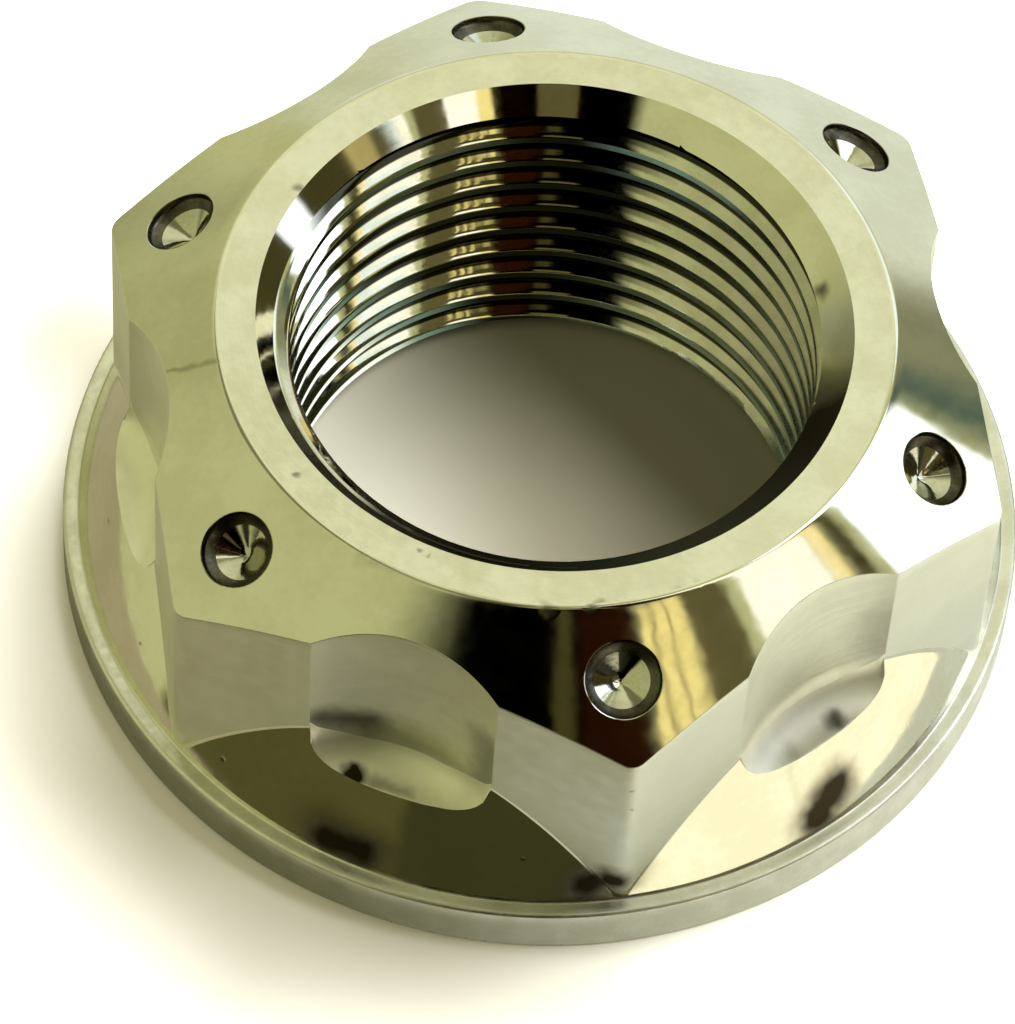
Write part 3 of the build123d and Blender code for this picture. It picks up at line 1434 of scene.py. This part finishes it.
class Along(Enum):
    """Direction in which a tool's marks follow one another."""

    RADIUS = 0
    HEIGHT = 1
    NOWHERE = 2


GRIME_AND_SHADE = (0.04, 0.03, 0.014, 1.0)
ROOT_SHADE = (0.03, 0.03, 0.02, 1.0)


@dataclass(frozen=True)
class Finish:
    """Surface that one tool leaves on the metal, lengths in millimetres.

    The metal is mottled between two tones. Tool marks are one-dimensional noise across the
    marks, and ripples are noise in all directions. Each is a height, given by its size and by
    the steepness of its slopes, and all of them feed one bump. Wear and painted shade darken the
    metal to near black, by way of the fringe's colour, and roughen it. A thread's root is painted
    dark from one radius outwards, as painted shade.
    """

    zone: Zone
    tone: Triple
    second_tone: Triple
    roughness: float
    roughness_spread: float = 0.04
    mottle_size: float = 2.5
    marks: Along = Along.NOWHERE
    mark_size: float = 0.12
    mark_steepness: float = 0.01
    mark_wander: float = 0.15
    ripple_size: float = 1.2
    ripple_steepness: float = 0.004
    grain_size: float = 0.09
    grain_steepness: float = 0.0
    anisotropy: float = 0.0
    root_shade_from_radius: float = 0.0
    wear_and_shade: tuple[Mark, ...] = ()
    fringe: Colour = GRIME_AND_SHADE

    def build(self) -> bpy.types.Material:
        """Makes the material.

        Returns:
            The material, named after its zone.
        """
        material, sheet = NodeSheet.of_material(self.zone.name.lower())
        colour = self.mottled(sheet)
        if self.root_shade_from_radius:
            colour = self.with_painted_root_shade(sheet, colour)
        ragged = self.ragged(sheet) if self.wear_and_shade else sheet.place
        dips = [mark.dip(sheet, ragged) for mark in self.wear_and_shade]
        dirt_and_shade = sheet.total(0.0, dips, [mark.shade for mark in self.wear_and_shade])
        height = self.relief(sheet)
        height = sheet.total(height, dips, [-mark.depth for mark in self.wear_and_shade])
        # Marks of grime and of painted shade darken the colour, through the fringe, towards near
        # black.
        if self.wear_and_shade:
            fringe_ends, grime_and_shade_starts = 0.25, 0.9
            dirt_and_shade = sheet.math("MINIMUM", dirt_and_shade, 1.0)
            stain_and_shade = sheet.fade(dirt_and_shade, (fringe_ends, grime_and_shade_starts), self.fringe, GRIME_AND_SHADE)
            colour = sheet.mix(dirt_and_shade, colour, stain_and_shade)
        feeds = {
            "Base Color": colour,
            "Metallic": 1.0,
            "Roughness": self.dullness(sheet, dirt_and_shade),
            "Normal": sheet.first("ShaderNodeBump", {"Distance": MM, "Height": height}),
            "Anisotropic": self.anisotropy,
        }
        if self.anisotropy:
            quarter_turn = 0.25
            feeds["Anisotropic Rotation"] = quarter_turn
            around = {"direction_type": "RADIAL", "axis": "Z"}
            feeds["Tangent"] = sheet.first("ShaderNodeTangent", {}, **around)
        sheet.show(sheet.first("ShaderNodeBsdfPrincipled", feeds))
        return material

    def mottled(self, sheet: NodeSheet) -> Socket:
        """Adds the nodes for the two tones, mixed by coarse noise with some fine noise on it.

        Args:
            sheet: The material's nodes.

        Returns:
            The colour.
        """
        fineness, fine_weight, span = 9, 0.35, (0.5, 0.85)
        coarse = sheet.noise(self.mottle_size, detail=5.0)
        fine = sheet.noise(self.mottle_size / fineness, detail=3.0)
        both = sheet.math("MULTIPLY_ADD", fine, fine_weight, coarse)
        return sheet.fade(both, span, (*self.tone, 1.0), (*self.second_tone, 1.0))

    def with_painted_root_shade(self, sheet: NodeSheet, colour: Feed) -> Socket:
        """Adds the nodes that paint shade into the thread's root, except at the far left.

        Args:
            sheet: The material's nodes.
            colour: Colour of the rest.

        Returns:
            The colour with the painted shade in the root.
        """
        edge, blur, left_end = self.root_shade_from_radius, 0.03, (-9.4, -7.6)
        outside = sheet.ease(sheet.from_axis(), edge - blur, edge + blur)
        on_right = sheet.ease(sheet.parts(sheet.place)[0], *left_end)
        return sheet.mix(sheet.math("MULTIPLY", outside, on_right), colour, ROOT_SHADE)

    def dullness(self, sheet: NodeSheet, dirt_and_shade: Feed) -> Socket:
        """Adds the nodes for roughness: the finish's spread, and more in grime and painted shade.

        Args:
            sheet: The material's nodes.
            dirt_and_shade: Share of grime and painted shade.

        Returns:
            The roughness.
        """
        size, span, from_dirt = self.mottle_size / 4, (0.3, 0.7), 0.25
        spread = self.roughness_spread
        uneven = sheet.ease(sheet.noise(size, detail=4.0), *span, -spread, spread)
        clean = sheet.math("ADD", uneven, self.roughness)
        return sheet.math("MULTIPLY_ADD", dirt_and_shade, from_dirt, clean)

    @staticmethod
    def ragged(sheet: NodeSheet) -> Socket:
        """Adds nodes that shift the place a little at random, for uneven edges of marks.

        Args:
            sheet: The material's nodes.

        Returns:
            The shifted place.
        """
        middle, reach = (0.5, 0.5, 0.5), 0.5
        feeds = {"Vector": sheet.place, "Scale": 1.4, "Detail": 1.0}
        noise = sheet.add("ShaderNodeTexNoise", feeds, noise_dimensions="3D").outputs[1]
        shift = sheet.vector("SUBTRACT", noise, middle)
        return sheet.vector("ADD", sheet.place, sheet.vector("SCALE", shift, scale=reach))

    def relief(self, sheet: NodeSheet) -> Socket:
        """Adds the nodes for the height of tool marks, ripples and grain.

        Args:
            sheet: The material's nodes.

        Returns:
            The height in millimetres.
        """
        ripple = sheet.noise(self.ripple_size, detail=2.0)
        height = sheet.math("MULTIPLY", ripple, self.ripple_size * self.ripple_steepness)
        if self.grain_steepness:
            grain = sheet.noise(self.grain_size, detail=1.0)
            height = sheet.total(height, [grain], [self.grain_size * self.grain_steepness])
        if self.marks is Along.NOWHERE:
            return height
        radial = self.marks is Along.RADIUS
        across = sheet.from_axis() if radial else sheet.parts(sheet.place)[2]
        wander_size = 3.0
        bend = sheet.noise(wander_size, detail=1.0)
        wandering = sheet.math("MULTIPLY_ADD", bend, self.mark_wander, across)
        line = sheet.math("DIVIDE", wandering, self.mark_size)
        feeds = {"W": line, "Scale": 1.0, "Detail": 3.0, "Roughness": 0.7}
        marks = sheet.first("ShaderNodeTexNoise", feeds, noise_dimensions="1D")
        return sheet.total(height, [marks], [self.mark_size * self.mark_steepness])


WARM = (0.78, 0.77, 0.62)
WORN = (0.70, 0.685, 0.53)
# Each mark gives its place, radius, depth and shade, and a long one its end.
RING_WEAR = (
    Mark((-10.87, -5.68, 14.8), 0.22, 0.01, 0.7),
    Mark((-6.79, -9.72, 14.8), 0.18, 0.01, 0.6),
    Mark((-6.46, -10.04, 14.8), 0.15, 0.01, 0.6),
    Mark((-8.9, 7.6, 14.8), 0.3, 0.01, 0.6),
    Mark((3.3, -12.9, 14.8), 0.5, 0.03, 0.15),
    Mark((2.4, -12.95, 14.8), 0.4, 0.03, 0.2),
    Mark((-2.6, -12.95, 14.8), 0.4, 0.02, 0.5),
    Mark((-0.6, -13.05, 14.8), 0.35, 0.02, 0.4),
)
CONE_WEAR = (
    Mark((-2.5, -13.0, 14.75), 0.45, 0.01, 0.6),
    Mark((-0.9, -13.15, 14.72), 0.4, 0.01, 0.5),
    Mark((3.6, -13.0, 14.65), 0.45, 0.008, 0.0),
    Mark((-15.2, 0.5, 13.5), 0.2, 0.004, 0.4, (-13.2, 0.0, 14.7)),
    Mark((-9.0, -9.6, 14.6), 0.5, 0.0, 0.25, (-4.0, -12.6, 14.6)),
)
# Four small pits, then painted dark reflections below the two front pockets and painted shade at
# the front corner's foot.
SKIRT_PITS_AND_SHADE = (
    Mark((-14.36, -10.78, 3.31), 0.22, 0.01, 1.0),
    Mark((-3.79, -17.24, 4.01), 0.18, 0.01, 1.0),
    Mark((-17.36, -0.03, 4.71), 0.22, 0.0, 0.6),
    Mark((-16.83, -5.45, 3.93), 0.18, 0.0, 0.6),
    Mark((-10.9, -14.5, 2.9), 2.0, 0.0, 1.05, (-9.6, -15.4, 2.9)),
    Mark((8.85, -15.5, 3.6), 1.8, 0.0, 1.15, (8.1, -16.3, 2.9)),
    Mark((-1.4, -18.0, 2.9), 1.6, 0.0, 1.05, (0.2, -18.2, 3.6)),
)
# Painted shade at the front corner's foot, then two small pits on the corner's edge.
FLAT_PITS_AND_SHADE = (
    Mark((-0.4, -18.2, 3.4), 1.2, 0.0, 1.2),
    Mark((0.0, -18.35, 10.0), 0.2, 0.02, 0.5),
    Mark((0.0, -18.35, 8.6), 0.16, 0.02, 0.4),
)
# Dark patches on the pocket walls, all painted shade.
POCKET_SHADE = (
    Mark((-10.6, -12.0, 7.5), 1.3, 0.0, 0.8, (-9.0, -12.3, 7.4)),
    Mark((11.2, -11.9, 9.5), 2.6, 0.0, 0.3, (11.2, -11.9, 8.0)),
    Mark((-4.9, -15.4, 9.5), 1.6, 0.0, 0.5, (-4.9, -15.4, 7.0)),
)
# Small dark spots and a streak on the pocket feet, then two broad soft patches that dim them,
# partly grime and partly painted shade.
FOOT_SPOTS_AND_SHADE = (
    Mark((-9.75, -13.6, 5.8), 0.7, 0.0, 1.6),
    Mark((-9.0, -14.0, 5.75), 0.4, 0.0, 0.3, (-7.8, -14.7, 5.75)),
    Mark((9.0, -13.8, 5.8), 0.8, 0.0, 0.7),
    Mark((7.0, -15.06, 5.77), 0.8, 0.0, 0.2),
    Mark((6.2, -15.3, 6.0), 3.0, 0.0, 0.3, (8.2, -14.2, 6.0)),
    Mark((-5.2, -15.6, 5.9), 2.0, 0.0, 0.2),
)
# A small smudge, then painted shade along the near side of the upper mouth.
MOUTH_SMUDGE_AND_SHADE = (
    Mark((10.58, 0.68, 13.9), 0.6, 0.0, 0.8),
    Mark((-12.0, -9.5, 14.0), 9.0, 0.0, 2.0, (12.0, -9.5, 14.0)),
)
# Painted shade over the thread's right side.
THREAD_SHADE = (Mark((12.0, 1.0, 7.0), 15.0, 0.0, 0.55),)
FINISHES = (
    Finish(
        Zone.FACED_RING, (0.82, 0.81, 0.66), (0.74, 0.725, 0.56), roughness=0.35,
        mottle_size=2.2, marks=Along.RADIUS, mark_size=0.10, mark_steepness=0.03,
        ripple_size=0.9, ripple_steepness=0.03, grain_steepness=0.03, anisotropy=0.3,
        wear_and_shade=RING_WEAR,
    ),
    Finish(
        Zone.CONE, WARM, WORN, roughness=0.07, roughness_spread=0.02, mottle_size=3.0,
        marks=Along.RADIUS, mark_size=0.16, mark_steepness=0.0015, ripple_size=2.2,
        anisotropy=0.5, wear_and_shade=CONE_WEAR,
    ),
    Finish(
        Zone.FLATS, (0.78, 0.79, 0.67), (0.74, 0.75, 0.62), roughness=0.40,
        roughness_spread=0.03, mottle_size=3.0, marks=Along.HEIGHT, mark_size=0.5,
        mark_steepness=0.02, ripple_steepness=0.01, grain_steepness=0.02, wear_and_shade=FLAT_PITS_AND_SHADE,
    ),
    Finish(
        Zone.POCKETS, (0.79, 0.79, 0.66), (0.74, 0.74, 0.61), roughness=0.45,
        roughness_spread=0.03, marks=Along.HEIGHT, mark_size=0.45, mark_steepness=0.04,
        mark_wander=0.5, ripple_steepness=0.01, grain_steepness=0.01, wear_and_shade=POCKET_SHADE,
    ),
    Finish(
        Zone.SKIRT, WARM, WORN, roughness=0.07, roughness_spread=0.02, mottle_size=3.0,
        marks=Along.RADIUS, mark_size=0.2, mark_steepness=0.0015, ripple_size=2.0,
        ripple_steepness=0.005, anisotropy=0.3, wear_and_shade=SKIRT_PITS_AND_SHADE,
        # Amber fringe round the painted dark reflections on the skirt.
        fringe=(0.17, 0.1, 0.025, 1.0),
    ),
    Finish(
        Zone.RIM, (0.80, 0.79, 0.67), (0.70, 0.69, 0.56), roughness=0.34,
        roughness_spread=0.06, mottle_size=1.4, marks=Along.HEIGHT, mark_size=0.2,
        mark_steepness=0.03, grain_steepness=0.04,
    ),
    Finish(
        Zone.BEARING_FACE, (0.76, 0.75, 0.62), (0.62, 0.6, 0.48), roughness=0.34,
        roughness_spread=0.08, mottle_size=2.0, marks=Along.RADIUS, mark_size=0.18,
        mark_steepness=0.05, grain_steepness=0.03, anisotropy=0.4,
    ),
    Finish(
        Zone.MOUTHS, WARM, WORN, roughness=0.055, roughness_spread=0.015, mottle_size=2.0,
        marks=Along.RADIUS, mark_steepness=0.001, ripple_steepness=0.002, wear_and_shade=MOUTH_SMUDGE_AND_SHADE,
    ),
    # Painted shade in the thread's root, and painted shade over its right side.
    Finish(
        Zone.THREAD, WARM, (0.66, 0.65, 0.50), roughness=0.06, roughness_spread=0.02,
        mottle_size=1.2, marks=Along.RADIUS, mark_size=0.08, mark_steepness=0.002,
        root_shade_from_radius=10.55, wear_and_shade=THREAD_SHADE,
    ),
    # The drill marks' cones are darker than the cone around them, and their walls near black:
    # painted shade in the hollows.
    Finish(
        Zone.DRILL_MARKS, (0.60, 0.59, 0.46), (0.48, 0.47, 0.35), roughness=0.09,
        roughness_spread=0.02, mottle_size=1.0, ripple_size=0.5, ripple_steepness=0.01,
    ),
    Finish(
        Zone.MARK_WALLS, (0.13, 0.12, 0.085), (0.06, 0.055, 0.035), roughness=0.3,
        roughness_spread=0.05, mottle_size=1.0,
    ),
    Finish(
        Zone.POCKET_FEET, (0.98, 0.96, 0.78), (0.93, 0.91, 0.73), roughness=0.48,
        roughness_spread=0.02, wear_and_shade=FOOT_SPOTS_AND_SHADE,
    ),
)


def main() -> None:
    """Builds the nut, its studio and its camera."""
    logging.basicConfig(level=logging.INFO, format="%(name)s: %(message)s")
    sizes = NutSizes.from_frame()
    columns = Columns(sizes)
    mesh = PieceMesh()
    upper_edge, lower_edge = OuterSkin(sizes, columns).add_to(mesh)
    Bore(sizes, columns).add_to(mesh, upper_edge, lower_edge)
    finishes = [finish.build() for finish in FINISHES]
    nut = mesh.build("nut", finishes, sharp_degrees=35.0)
    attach(nut, "root")
    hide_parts("lock_nut")
    Studio().build()
    MatchedCamera().build()
    set_picture()


if __name__ == "__main__":
    main()
